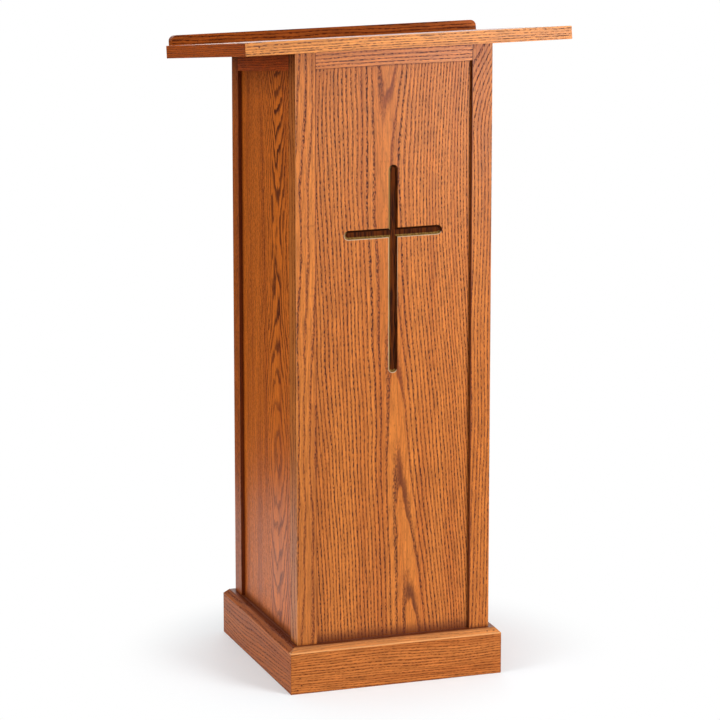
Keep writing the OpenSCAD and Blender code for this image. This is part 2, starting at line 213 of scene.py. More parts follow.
studio = bpy.data.worlds.new("studio")
scene.world = studio
recipe = blank(studio)
rightwards, _, height = recipe.parts(recipe.put("ShaderNodeTexCoord").outputs["Generated"])
seen = recipe.looked_at(in_shine=recipe.eased(rightwards, flag_ends, flag_clear))
level = recipe.eased(height, below_height, above_height, light_from_below, light_from_above)
room = recipe.get("ShaderNodeBackground", {"Strength": level, "Color": (1, 1, 1, 1)})
backdrop = recipe.get("ShaderNodeBackground", {"Strength": 1.0, "Color": (1, 1, 1, 1)})
surface = recipe.get("ShaderNodeMixShader", {0: seen, 1: room, 2: backdrop})
recipe.put("ShaderNodeOutputWorld", {"Surface": surface})


def softbox(name, stands_at, aimed, size, power):
    """A square soft lamp."""
    lamp = bpy.data.lights.new(name, "AREA")
    lamp.shape = "SQUARE"
    lamp.size = size
    lamp.energy = power
    box = bpy.data.objects.new(name, lamp)
    box.location = stands_at
    box.rotation_euler = (Vector(stands_at) - Vector(aimed)).to_track_quat("Z", "Y").to_euler()
    scene.collection.objects.link(box)


softbox("key", stands_at=(2.5, -3.3, 1.6), aimed=(0, 0, 0.7), size=2.2, power=81)
softbox("sheen", stands_at=(1.14, -1.96, 1.05), aimed=(0, 0, 1), size=0.9, power=26)
softbox("fill", stands_at=(-3.8, -0.8, 2.3), aimed=(0, 0, 0.6), size=2.4, power=86)
softbox("rear", stands_at=(0.6, 4.2, 2.2), aimed=(0, 0, 0.6), size=3.0, power=50)


# The four corner posts: solid red oak, planed square, grooved for panels and rails, stained red-brown and
# lacquered. Theirs is the first wood of the file, so how oak grows, how it is finished and how its edges
# are eased is told here.
class OakRecipe(Recipe):
    """Adds what wood needs: the place on the part, clouds of noise, and one colour laid over another."""

    def here(self):
        return self.put("ShaderNodeTexCoord").outputs["Object"]

    def hypotenuse(self, a, b):
        return self.reckon("SQRT", self.plus(self.times(a, a), self.times(b, b)))

    def cloud(self, place, counts, detail=1.0):
        """Noise from 0 to 1. counts says how many patches it has in a metre along, across and away."""
        stretched = self.get("ShaderNodeVectorMath", {0: place, 1: counts}, operation="MULTIPLY")
        feeds = {"Vector": stretched, "Scale": 1.0, "Detail": detail}
        return self.put("ShaderNodeTexNoise", feeds).outputs["Fac"]

    def swing(self, place, counts, reach):
        """Noise from minus to plus half of reach."""
        return self.times(self.less(self.cloud(place, counts), 0.5), reach)

    def laid_over(self, first, second, share):
        feeds = {0: share, 6: first, 7: second}
        return self.put("ShaderNodeMix", feeds, data_type="RGBA").outputs[2]

    def darkened(self, colour, share):
        return self.get("ShaderNodeVectorMath", {0: colour, "Scale": share}, operation="SCALE")

    def round_pins(self, marks, reach=0.0026, strength=0.9):
        """Full strength at the places in marks, and nothing further off than reach."""
        share = 0.0
        for mark in marks:
            feeds = {0: self.here(), 1: mark}
            distance = self.put("ShaderNodeVectorMath", feeds, operation="DISTANCE").outputs["Value"]
            share = self.most(self.eased(distance, reach / 2, reach, strength, 0.0), share)
        return share

    def lacquered(self, colour, roughness, hills, shine):
        """The end of every wood finish: a thin satin lacquer over the grain."""
        bump = self.get("ShaderNodeBump", {"Strength": 0.35, "Distance": 0.0004, "Height": hills})
        lacquer = self.get("ShaderNodeBsdfPrincipled", {
            "Base Color": colour,
            "Roughness": roughness,
            "Normal": bump,
            "Specular IOR Level": shine,
        })
        self.put("ShaderNodeOutputMaterial", {"Surface": lacquer})


def new_finish(name):
    """A material without nodes, and the recipe that fills it."""
    finish = bpy.data.materials.new(name)
    return finish, blank(finish, OakRecipe)


def red_oak_growth():
    """How a red oak board grows and takes stain. grain is the place in the board: X along it, Y across
    it from the line nearest the heart of the tree, Z away from the heart. The year rings are shells
    round the heart. Where the heart comes closer to the face or falls away from it, the face shows
    pointed arches, and elsewhere lines."""
    tree = bpy.data.node_groups.new("red_oak", "ShaderNodeTree")
    places = dict(grain=(0, 0, 0))
    numbers = dict(
        board=0, heart_depth=0.12, ring_width=0.0045, band=0.4, eccentric=0, fall_to_foot=0.02,
        fall_to_head=0, straight_length=0.1, turn=0, turn_start=0, lean=0, bend=0, bend_start=0,
        wander=0.02, ripple=0.0016, unevenness=0.6, lines=1, flames=0.9, pores=1, streaks=0.7,
        glaze=0, wear_and_highlight=0,
    )
    colours = dict(
        golden=(0.6, 0.177, 0.025, 1), brown=(0.43, 0.1, 0.011, 1), spring=(0.17, 0.024, 0.003, 1),
        pore=(0.055, 0.008, 0.002, 1), stain_and_shade_colour=(0.1, 0.016, 0.003, 1), bare_and_highlight=(0.86, 0.42, 0.16, 1),
    )
    for kind, traits in (("Vector", places), ("Float", numbers), ("Color", colours)):
        for trait, value in traits.items():
            feeds = dict(name=trait, in_out="INPUT", socket_type="NodeSocket" + kind)
            tree.interface.new_socket(**feeds).default_value = value
    for name, kind in (("Color", "Color"), ("Roughness", "Float"), ("Height", "Float")):
        tree.interface.new_socket(name=name, in_out="OUTPUT", socket_type="NodeSocket" + kind)
    oak = OakRecipe(tree)
    given = oak.put("NodeGroupInput").outputs
    along, across, deep = oak.parts(given["grain"])
    board_apart = 7.3
    shift = oak.whole(oak.times(given["board"], board_apart), given["board"])
    place = oak.get("ShaderNodeVectorMath", {0: given["grain"], 1: shift}, operation="ADD")

    # The heart, with the bends, leans and turns of the tree. Patches are counted in a metre along, across
    # and away.
    sway = (2.2, 7, 7)
    past_bend = oak.most(oak.less(along, given["bend_start"]), 0.0)
    across = oak.less(across, oak.times(past_bend, past_bend, given["bend"]))
    across = oak.less(across, oak.times(along, given["lean"]))
    across = oak.less(across, oak.swing(place, sway, given["wander"]))
    straight = given["straight_length"]
    to_foot = oak.most(oak.times(along, -1.0), 0.0)
    foot_run = oak.less(oak.hypotenuse(to_foot, straight), straight)
    head_run = oak.less(oak.hypotenuse(oak.most(along, 0.0), straight), straight)
    past_turn = oak.most(oak.less(along, given["turn_start"]), 0.0)
    heart = oak.plus(given["heart_depth"], deep)
    heart = oak.less(heart, oak.times(foot_run, given["fall_to_foot"]))
    heart = oak.less(heart, oak.times(head_run, given["fall_to_head"]))
    heart = oak.less(heart, oak.times(past_turn, past_turn, given["turn"]))

    # The rings round it, which ripple and are wider in some years than in others.
    long_waves = (5, 14, 14)
    short_waves = (12, 50, 50)
    ripples = (45, 130, 130)
    years_alike = 0.55
    radius = oak.hypotenuse(across, heart)
    upright_rings = oak.share(oak.size_of(across), radius)
    radius = oak.less(radius, oak.times(across, given["eccentric"]))
    for waves, strength in ((long_waves, 1.6), (short_waves, 0.7), (ripples, 0.35)):
        radius = oak.plus(radius, oak.swing(place, waves, oak.times(given["ripple"], strength)))
    rings = oak.share(radius, given["ring_width"])
    years = oak.whole(oak.times(rings, years_alike), given["board"])
    rings = oak.plus(rings, oak.swing(years, (1, 1, 1), given["unevenness"]))
    season = oak.reckon("FRACT", rings)
    year = oak.plus(oak.reckon("FLOOR", rings), given["board"])
    luck = oak.get("ShaderNodeTexWhiteNoise", {"W": year}, noise_dimensions="1D")

    # Each year starts with a band of wide pores, which takes the most stain. It shows as rows of pores
    # where the rings stand upright in the face, and as flames where they lie flat.
    strokes = (30, 260, 260)
    pore_rows = (150, 400, 400)
    fine_pores = (700, 1400, 1400)
    palest_spring = 0.65
    fewest_pores = 0.6
    faintest_stroke = 0.5
    between_rows = 0.55
    between_pores = 0.2
    pores_in_flames = 0.35
    band = given["band"]
    new_year = oak.eased(season, 0.0, 0.08)
    spring = oak.times(new_year, oak.eased(season, oak.times(band, 0.4), band, 1.0, 0.0))
    spring = oak.times(spring, oak.eased(luck, 0.0, 1.0, palest_spring, 1.0))
    rows = oak.eased(oak.cloud(place, pore_rows), 0.47, 0.55)
    smear = oak.eased(oak.cloud(place, strokes, 2.0), 0.36, 0.6, faintest_stroke, 1.0)
    smear = oak.times(smear, oak.eased(rows, 0.0, 1.0, between_rows, 1.0))
    flat_rings = oak.eased(upright_rings, 0.05, 0.4, 1.0, 0.0)
    smear = oak.most(smear, oak.times(flat_rings, given["flames"]))
    dots = oak.eased(oak.cloud(place, fine_pores), 0.5, 0.62)
    pits = oak.eased(season, oak.times(band, 0.75), oak.times(band, 1.25), 1.0, 0.0)
    pits = oak.times(pits, new_year, oak.eased(luck, 0.0, 1.0, fewest_pores, 1.0))
    pits = oak.times(pits, oak.plus(rows, oak.times(dots, between_pores)))
    pits = oak.times(pits, oak.eased(upright_rings, 0.1, 0.4, pores_in_flames, 1.0))

    # The colours from the wood up to the stain, the painted shade and the worn edges with painted
    # highlights.
    ray_flecks = (130, 620, 620)
    hairs = (20, 300, 300)
    broad_streaks = (1.3, 34, 34)
    ray_strength = 0.3
    darkest_fibre = 0.74
    palest_fibre = 1.18
    late_wood = 0.5
    rays = oak.eased(oak.cloud(place, ray_flecks, 0.0), 0.62, 0.7)
    fibres = oak.cloud(place, hairs, 4.0)
    late = oak.eased(season, 0.1, 0.55, 0.0, late_wood)
    streaks = oak.eased(oak.cloud(place, broad_streaks, 2.0), 0.3, 0.7)
    tone = oak.plus(late, oak.times(streaks, given["streaks"]))
    wood = oak.laid_over(given["brown"], given["golden"], tone)
    wood = oak.darkened(wood, oak.eased(fibres, 0.3, 0.7, darkest_fibre, palest_fibre))
    wood = oak.laid_over(wood, given["spring"], oak.times(spring, smear, given["lines"]))
    wood = oak.laid_over(wood, given["pore"], oak.times(rays, ray_strength))
    wood = oak.laid_over(wood, given["pore"], oak.times(pits, given["pores"]))
    # Stain and painted shade share this dark colour and mask.
    wood = oak.laid_over(wood, given["stain_and_shade_colour"], given["glaze"])
    # Worn edges and painted highlights share this pale colour and mask.
    wood = oak.laid_over(wood, given["bare_and_highlight"], given["wear_and_highlight"])

    smoothest = 0.34
    roughest = 0.4
    rougher_in_pits = 0.2
    fibre_height = 0.2
    rough = oak.eased(fibres, 0.2, 0.8, smoothest, roughest)
    rough = oak.plus(oak.times(pits, rougher_in_pits), rough)
    hills = oak.less(oak.times(fibres, fibre_height), pits)
    oak.put("NodeGroupOutput", {"Color": wood, "Roughness": rough, "Height": hills})
    return tree


red_oak = red_oak_growth()

# For each way that a board can lie: the directions along it, across its face and into it.
lying = {
    "front upright": ((0, 0, 1), (1, 0, 0), (0, 1, 0)),
    "side upright": ((0, 0, 1), (0, 1, 0), (-1, 0, 0)),
    "front level": ((1, 0, 0), (0, 0, -1), (0, 1, 0)),
    "side level": ((0, 1, 0), (0, 0, 1), (1, 0, 0)),
    "flat": ((1, 0, 0), (0, 1, 0), (0, 0, 1)),
}
board_numbers = itertools.count(1)


def oak_finish(node, lies, heart_at, glaze=None, wear_and_highlight=None, slope=0.0, shine=0.3, **growth):
    """The finish of one board. The line nearest the heart passes heart_at, and growth sets how the tree
    grew.
    The two masks lay down stain and painted shade, and worn edges and painted highlights."""
    finish, recipe = new_finish(node + "_finish")
    rows = Matrix(lying[lies]) @ Matrix.Rotation(slope, 3, "X")
    to_heart = -(rows @ Vector(heart_at))
    feeds = {"Vector": recipe.here(), "Location": to_heart, "Rotation": rows.to_euler()}
    traits = {"grain": recipe.get("ShaderNodeMapping", feeds), "board": next(board_numbers)}
    for trait, value in growth.items():
        traits[trait] = value(recipe) if callable(value) else value
    if glaze:
        traits["glaze"] = glaze(recipe)
    if wear_and_highlight:
        traits["wear_and_highlight"] = wear_and_highlight(recipe)
    wood = recipe.put("ShaderNodeGroup", traits, node_tree=red_oak).outputs
    recipe.lacquered(wood["Color"], wood["Roughness"], wood["Height"], shine)
    return finish


def dressed(piece, node):
    """Puts a piece in the place of its CAD node."""
    scene.collection.objects.link(piece)
    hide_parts(node)
    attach(piece, "root")
    return piece


longest_unplaned = 0.012
merge_within = 1e-6


def long_edge(edge):
    return edge.calc_length() > longest_unplaned


def planed(node, finish, arris=0.0008, eases=long_edge):
    """A board as it leaves the bench, in its CAD node's shape, with an arris on the edges that eases
    picks."""
    flat_to = math.radians(0.5)
    sharp_from = math.radians(25)
    shape = bmesh.new()
    shape.from_mesh(frame["nodes"][node].data)
    bmesh.ops.remove_doubles(shape, verts=shape.verts, dist=merge_within)
    bmesh.ops.dissolve_limit(shape, angle_limit=flat_to, verts=shape.verts, edges=shape.edges)
    weight = shape.edges.layers.float.new("bevel_weight_edge")
    for edge in shape.edges:
        turn = edge.calc_face_angle_signed(0)
        edge.smooth = abs(turn) < sharp_from
        edge[weight] = turn > sharp_from and eases(edge)
    mesh = bpy.data.meshes.new(node + "_oak")
    shape.to_mesh(mesh)
    shape.free()
    mesh.shade_smooth()
    mesh.materials.append(finish)
    board = dressed(bpy.data.objects.new(node + "_oak", mesh), node)
    bevel = board.modifiers.new("arris", "BEVEL")
    bevel.limit_method = "WEIGHT"
    bevel.width = arris
    bevel.segments = 2
    bevel.harden_normals = True
    return board


post_low, post_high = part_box("post_front_left")
column_y = (post_low.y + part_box("post_rear_left")[1].y) / 2
column_half_x = -post_low.x
column_half_y = column_y - post_low.y
opening_half_x = -post_high.x
opening_half_y = column_y - post_high.y
plinth_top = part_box("plinth_front")[1].z
# Painted shade darkens the lower parts of the column: fully below the first height, not at all above the
# second.
foot_shade_full_below = 0.2
foot_shade_gone_above = 0.85


def from_middle(recipe):
    """How far a place is from the middle of the column, across the front and along the side, and how
    high."""
    x, y, z = recipe.parts(recipe.here())
    return recipe.size_of(x), recipe.size_of(recipe.less(y, column_y)), z


def post_glaze(recipe):
    """Painted shade where a post meets the panels and the plinth, and painted shade that darkens the posts
    towards the foot, most on the left. The outer sides are a little darker."""
    seam = 0.0004
    seam_end = 0.0018
    toe = 0.008
    skin = (column_half_x - 0.0006, column_half_x - 0.0001)
    side = recipe.parts(recipe.here())[0]
    x, y, z = from_middle(recipe)
    # Painted shade in the recesses beside the panels and where the post stands on the plinth.
    by_front_panel = recipe.eased(x, opening_half_x + seam, opening_half_x + seam_end, 0.85, 0.0)
    by_side_panel = recipe.eased(y, opening_half_y + seam, opening_half_y + seam_end, 0.85, 0.0)
    foot = recipe.eased(z, plinth_top, plinth_top + toe, 0.5, 0.0)
    more_on_left = recipe.eased(side, -0.1, 0.1, 3.4, 1.0)
    less_outside = recipe.eased(x, *skin, 1.0, 0.3)
    # Painted shade towards the foot, stronger on the left posts and weaker on their outer sides.
    painted_foot_shade = recipe.eased(z, foot_shade_full_below, foot_shade_gone_above, 0.1, 0.0)
    painted_foot_shade = recipe.times(painted_foot_shade, more_on_left, less_outside)
    outer_sides_darker = recipe.eased(x, *skin, 0.0, 0.1)
    return recipe.most(by_front_panel, by_side_panel, foot, recipe.plus(outer_sides_darker, painted_foot_shade))


def post_wear_and_highlight(recipe):
    """A little wear along the outer corner of a post, with a painted highlight on it."""
    start = 0.0022
    full = 0.0004
    x, y, _ = from_middle(recipe)
    by_front = recipe.eased(x, column_half_x - start, column_half_x - full, 0.0, 0.16)
    by_side = recipe.eased(y, column_half_y - start, column_half_y - full)
    return recipe.times(by_front, by_side)


rear_post_wood = dict(golden=(0.52, 0.12, 0.013, 1), brown=(0.38, 0.075, 0.007, 1))
left_post_wood = dict(ring_width=0.0078, band=0.34, lean=0.015, ripple=0.006, wander=0.05, pores=0.78,
                      golden=(0.65, 0.2, 0.033, 1), brown=(0.45, 0.112, 0.0155, 1))
right_post_wood = dict(ring_width=0.0052, bend=1.8, bend_start=0.43, ripple=0.0026,
                       golden=(0.575, 0.17, 0.0245, 1), brown=(0.4, 0.092, 0.0105, 1))
for node, heart_at, growth in (
    ("post_front_left", (-0.118, 0, 0.42), left_post_wood),
    ("post_front_right", (0.09, 0, 0.6), right_post_wood),
    ("post_rear_left", (-0.1, 0.38, 0.5), rear_post_wood),
    ("post_rear_right", (0.12, 0.38, 0.5), rear_post_wood),
):
    finish = oak_finish(node, "front upright", heart_at, post_glaze, post_wear_and_highlight, shine=0.25,
                        heart_depth=0.1, **growth)
    planed(node, finish)


# The rails of the frame: oak boards tenoned into the posts. The top ones are level at the front and the
# back, and at the sides they follow the slope of the desk. The bottom ones are hidden by the plinth.
desk_slope = math.radians(9)


def level_board(node, lies, slot, heart_along=0.1, heart_above=0.05, eases=long_edge, **look):
    """A board that lies level, with the heart of its tree above it."""
    low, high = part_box(node)
    face = (heart_along, low.y) if lies == "front level" else (low.x, heart_along)
    finish = oak_finish(node, lies, (*face, high.z + heart_above), **look)
    planed(node, finish, eases=eases)


def bottom_rail_glaze(recipe):
    """Painted shade in the recess on top of the bottom rails, below the panels."""
    reach = 0.004
    upper_edge = (plinth_top - 0.03, plinth_top - 0.02)
    x, y, z = from_middle(recipe)
    outwards = recipe.most(recipe.less(x, opening_half_x), recipe.less(y, opening_half_y))
    on_top = recipe.eased(z, *upper_edge, 0.0, 0.9)
    return recipe.times(on_top, recipe.eased(outwards, 0.0, reach))


# The top rails at the front and the back take a lighter copy of the frame wood: painted light that offsets
# the shade under the desk's overhang.
for node, heart_along in (("front_top_rail", 0.1), ("rear_top_rail", -0.08)):
    level_board(node, "front level", "frame_oak", heart_along, shine=0.34, heart_depth=0.09,
                golden=(0.7, 0.215, 0.035, 1), brown=(0.5, 0.125, 0.016, 1))
for node, heart_along in (("front_bottom_rail", 0.02), ("rear_bottom_rail", -0.1)):
    level_board(node, "front level", "frame_oak", heart_along, glaze=bottom_rail_glaze, heart_depth=0.09)
# The side top rails take a redder copy of the frame wood, raised in brightness: painted light that offsets
# the shade under the desk's overhang.
for node in ("left_top_rail", "right_top_rail"):
    level_board(node, "side level", "frame_oak", heart_above=0.03, slope=desk_slope, heart_depth=0.09,
                fall_to_foot=0, ring_width=0.003, lines=0.35, pores=0.45,
                golden=(0.7, 0.125, 0.012, 1), brown=(0.54, 0.085, 0.008, 1))
for node in ("left_bottom_rail", "right_bottom_rail"):
    level_board(node, "side level", "frame_oak", heart_above=0.04, glaze=bottom_rail_glaze)


# The front panel: oak, 12 mm thick, loose in its grooves, with a plain cross routed into its face. The
# cut was brushed with dark stain, and light, shade and a pale highlight on its lip are painted in it.
panel_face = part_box("front_panel")[0].y
panel_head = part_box("front_top_rail")[0].z
panel_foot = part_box("front_bottom_rail")[1].z
cross_arm_z = 0.861
cross_half_width = 0.11
cut_depth = 0.006
hair = 0.00001


def front_panel_glaze(recipe):
    """Painted shade along the frame, under the top rail and above the plinth, and darkening the lower half
    towards the foot.
    """
    side_reach = 0.004
    foot_reach = 0.03
    head_reach = 0.005
    x, _, z = from_middle(recipe)
    sides = recipe.eased(x, opening_half_x - side_reach, opening_half_x, 0.0, 0.5)
    foot = recipe.eased(z, panel_foot, panel_foot + foot_reach, 0.82, 0.0)
    head = recipe.eased(z, panel_head - head_reach, panel_head, 0.0, 0.5)
    return recipe.most(sides, foot, head, recipe.eased(z, foot_shade_full_below, foot_shade_gone_above, 0.08, 0.0))


def cut_colour_and_painted_light():
    """Dark stain in the cut, with light and shade painted on by the way each face turns. The walls that
    face up or to the right are painted a lit olive brown, the walls that face down are painted darkest, and
    the lip of the lit walls takes a pale painted highlight, most of all along the arms and above them."""
    upright_strands = (420, 420, 30)
    bed_dark = (0.025, 0.005, 0.001, 1)
    bed_pale = (0.11, 0.023, 0.003, 1)
    lit_wall_dark = (0.12, 0.062, 0.014, 1)
    lit_wall_pale = (0.27, 0.15, 0.04, 1)
    lip_highlight = (0.64, 0.5, 0.34, 1)
    lip_depth = (panel_face + 0.0006, panel_face + 0.0012)
    along_arms = 0.004
    finish, recipe = new_finish("cut_colour_and_painted_light")
    _, y, z = recipe.parts(recipe.here())
    facing = recipe.parts(recipe.put("ShaderNodeNewGeometry").outputs["Normal"])
    # Painted light: the walls that face up or to the right take the lit colour.
    lit = recipe.eased(recipe.most(facing[0], facing[2]), 0.15, 0.5)
    strands = recipe.eased(recipe.cloud(recipe.here(), upright_strands, 3.0), 0.35, 0.65)
    bed = recipe.laid_over(bed_dark, bed_pale, strands)
    lit_wall = recipe.laid_over(lit_wall_dark, lit_wall_pale, strands)
    # Painted highlight on the lip of the lit walls.
    lip = recipe.times(lit, recipe.eased(y, *lip_depth, 0.85, 0.0))
    lip = recipe.times(lip, recipe.eased(z, cross_arm_z, cross_arm_z + along_arms, 1.0, 0.25))
    colour = recipe.laid_over(recipe.laid_over(bed, lit_wall, lit), lip_highlight, lip)
    # Painted shade on the walls that face down.
    colour = recipe.darkened(colour, recipe.eased(facing[2], -0.6, -0.3, 0.4, 1.0))
    recipe.lacquered(colour, recipe.eased(strands, 0, 1, 0.5, 0.7), strands, shine=0.04)
    return finish


def panel_spring(recipe):
    """The spring wood is darkest near the foot, where the stain stood longest."""
    darkest = (0.055, 0.008, 0.0015, 1)
    palest = (0.18, 0.026, 0.0033, 1)
    height = recipe.parts(recipe.here())[2]
    return recipe.laid_over(darkest, palest, recipe.eased(height, 0.2, 0.75))


def lip_of_cut(edge):
    return all(abs(end.co.y - panel_face) < hair for end in edge.verts)


finish = oak_finish(
    "front_panel", "front upright", (-0.006, panel_face, 0.814), front_panel_glaze, shine=0.24,
    heart_depth=0.0602, ring_width=0.0056, band=0.43, eccentric=-0.1, fall_to_foot=0.0252,
    straight_length=0.08, turn=0.078, turn_start=0.1, lean=-0.065, bend=0.178, ripple=0.003,
    unevenness=0.25, wander=0.022, flames=1, pores=1, spring=panel_spring,
    golden=(0.6, 0.179, 0.0277, 1), brown=(0.42, 0.098, 0.0122, 1),
)
panel = planed("front_panel", finish, arris=0.001, eases=lip_of_cut)
panel.data.materials.append(cut_colour_and_painted_light())
for face in panel.data.polygons:
    middle = face.center
    off_mid_depth = abs(middle.y - panel_face - cut_depth / 2)
    in_cut = abs(middle.x) < cross_half_width and off_mid_depth < cut_depth / 2 - hair
    if in_cut and panel_foot < middle.z < panel_head:
        face.material_index = 1


# The side panels: oak boards sawn near the heart of a crooked tree. The rings show as ovals in the lower
# half and as narrow arches over them, which stand upside down further up. The stain is redder than on
# the front.
arches_turn_z = 0.416
crooked_from_z = 0.45
crooked_to_z = 0.72


def up_the_side(foot, head):
    """A trait that changes with height, because the tree grew more crookedly in its upper half."""
    return lambda recipe: recipe.eased(
        recipe.parts(recipe.here())[2], crooked_from_z, crooked_to_z, foot, head)


def side_panel_glaze(recipe):
    """Painted shade along the posts and above the plinth, and darkening the lower half towards the foot."""
    side_reach = 0.012
    foot_reach = 0.024
    _, y, z = from_middle(recipe)
    sides = recipe.eased(y, opening_half_y - side_reach, opening_half_y, 0.0, 0.6)
    foot = recipe.eased(z, panel_foot, panel_foot + foot_reach, 0.7, 0.0)
    return recipe.most(sides, foot, recipe.eased(z, foot_shade_full_below, foot_shade_gone_above, 0.12, 0.0))


for node, heart_y in (("left_panel", -0.03), ("right_panel", 0.03)):
    finish = oak_finish(
        node, "side upright", (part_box(node)[0].x, heart_y, arches_turn_z), side_panel_glaze, shine=0.24,
        heart_depth=0.19, ring_width=0.0028, fall_to_foot=-0.06, fall_to_head=-0.055,
        straight_length=0.05, turn=0.16, turn_start=0.25, wander=0.03, unevenness=1, streaks=1,
        pores=0.62, band=up_the_side(0.4, 0.54), lines=up_the_side(0.66, 1.0),
        flames=up_the_side(0.12, 1.0), ripple=up_the_side(0.0036, 0.005),
        golden=(0.72, 0.17, 0.015, 1), brown=(0.37, 0.066, 0.006, 1), spring=(0.085, 0.0125, 0.002, 1),
    )
    planed(node, finish)


# The plinth: four oak boards round the foot of the column, chamfered along the top and mitred at the
# corners. Each follows its rule: the outline of its end runs along the board and is cut off at 45
# degrees, then holes are drilled.
def shape_tree(name, inputs):
    """A tree of Geometry Nodes with those inputs: its recipe, and the outputs that give their values."""
    tree = bpy.data.node_groups.new(name, "GeometryNodeTree")
    sockets = tree.interface
    sockets.new_socket(name="Geometry", in_out="INPUT", socket_type="NodeSocketGeometry")
    for label, kind in inputs.items():
        sockets.new_socket(name=label, in_out="INPUT", socket_type="NodeSocket" + kind)
    sockets.new_socket(name="Geometry", in_out="OUTPUT", socket_type="NodeSocketGeometry")
    recipe = Recipe(tree)
    return recipe, recipe.put("NodeGroupInput").outputs


def chosen(recipe, values, data_type):
    """The value for each point, by its number."""
    choice = recipe.put("GeometryNodeIndexSwitch", data_type=data_type)
    while len(choice.index_switch_items) < len(values):
        choice.index_switch_items.new()
    feeds = dict(enumerate(values, start=1))
    feeds["Index"] = recipe.get("GeometryNodeInputIndex")
    recipe.feed(choice, feeds)
    return choice.outputs[0]


def line_through(recipe, places):
    """A curve through those places."""
    points = recipe.get("GeometryNodePoints", {"Count": len(places)})
    feeds = {"Geometry": points, "Position": chosen(recipe, places, "VECTOR")}
    placed = recipe.get("GeometryNodeSetPosition", feeds)
    return recipe.get("GeometryNodePointsToCurves", {"Points": placed})


def on_driven_places(recipe, places, shape, spin_seed):
    """The shape at each place, its Z along the way it was driven and turned by chance about it."""
    way = recipe.get("GeometryNodeInputNamedAttribute", {"Name": "driven"}, data_type="FLOAT_VECTOR")
    aim = recipe.get("FunctionNodeAlignRotationToVector", {"Vector": way}, axis="Z")
    feeds = {"Max": math.tau, "Seed": spin_seed}
    turn = recipe.put("FunctionNodeRandomValue", feeds, data_type="FLOAT").outputs["Value"]
    spin = recipe.get("FunctionNodeAxisAngleToRotation", {"Axis": (0, 0, 1), "Angle": turn})
    feeds = {"Rotation": aim, "Rotate By": spin}
    aim = recipe.get("FunctionNodeRotateRotation", feeds, rotation_space="LOCAL")
    feeds = {"Points": places, "Instance": shape, "Rotation": aim}
    set_in = recipe.get("GeometryNodeInstanceOnPoints", feeds)
    return recipe.get("GeometryNodeRealizeInstances", {0: set_in})


def cut_out(recipe, shape, tool):
    """The shape without what the tool takes away."""
    feeds = {"Mesh 1": shape, "Mesh 2": tool}
    return recipe.get("GeometryNodeMeshBoolean", feeds, operation="DIFFERENCE", solver="EXACT")


def finish_shape(recipe, shape, finish):
    """The last steps of every shape tree: no instances left, and the finish on it."""
    real = recipe.get("GeometryNodeRealizeInstances", {0: shape})
    coated = recipe.get("GeometryNodeSetMaterial", {"Geometry": real, "Material": finish})
    recipe.put("NodeGroupOutput", {0: coated})


def made_by_rule(name, tree, start, values, smooth_below):
    """A plain mesh object that a shape tree makes from a start mesh. Edges that turn less than
    smooth_below are shaded smooth."""
    seed = bpy.data.objects.new(name + "_seed", start)
    scene.collection.objects.link(seed)
    rule = seed.modifiers.new("rule", "NODES")
    rule.node_group = tree
    for socket in tree.interface.items_tree:
        if socket.in_out == "INPUT" and socket.name in values:
            rule[socket.identifier] = values[socket.name]
    depsgraph = bpy.context.evaluated_depsgraph_get()
    mesh = bpy.data.meshes.new_from_object(seed.evaluated_get(depsgraph), depsgraph=depsgraph)
    bpy.data.objects.remove(seed)
    mesh.name = name
    body = bmesh.new()
    body.from_mesh(mesh)
    bmesh.ops.remove_doubles(body, verts=body.verts, dist=merge_within / 10)
    bmesh.ops.recalc_face_normals(body, faces=body.faces)
    for edge in body.edges:
        edge.smooth = edge.calc_face_angle(0) < smooth_below
    for face in body.faces:
        face.smooth = smooth_below > 0
    body.to_mesh(mesh)
    body.free()
    return bpy.data.objects.new(name, mesh)


def islands(node):
    """The points of each separate solid in a CAD node, always in the same order."""
    solids = bmesh.new()
    solids.from_mesh(frame["nodes"][node].data)
    bmesh.ops.remove_doubles(solids, verts=solids.verts, dist=merge_within)
    left = set(solids.verts)
    found = []
    while left:
        solid = {left.pop()}
        reached = list(solid)
        while reached:
            vertex = reached.pop()
            near = {edge.other_vert(vertex) for edge in vertex.link_edges} - solid
            solid |= near
            reached.extend(near)
        left -= solid
        found.append(np.array(sorted(tuple(vertex.co) for vertex in solid)))
    solids.free()
    found.sort(key=lambda points: tuple(points.mean(axis=0).round(4)))
    return found


def driven_places(node):
    """A mesh with a point where each fastener of a CAD node starts, and the longest one's length. The
    attribute driven says which way each goes in: screws lead from the wide head to the tip, and headless
    pins lead inwards."""
    rim_from = 0.98
    longest_head = 0.001
    starts = []
    ways = []
    length = 0
    for points in islands(node):
        middle = points.mean(axis=0)
        way = np.linalg.svd(points - middle, full_matrices=False)[2][0]
        run = (points - middle) @ way
        off_axis = np.linalg.norm(points - middle - np.outer(run, way), axis=1)
        rim = run[off_axis > rim_from * off_axis.max()]
        headless = rim.max() - rim.min() > longest_head
        outwards = middle - np.array((0, column_y, middle[2]))
        backwards = way @ outwards > 0 if headless else rim.mean() > 0
        if backwards:
            way = -way
            run = -run
        length = max(length, run.max() - run.min())
        starts.append(middle + way * run.min())
        ways.append(way)
    places = bpy.data.meshes.new(node + "_places")
    places.from_pydata(starts, [], [])
    driven = places.attributes.new("driven", "FLOAT_VECTOR", "POINT")
    for number, way in enumerate(ways):
        driven.data[number].vector = way
    return places, float(length)


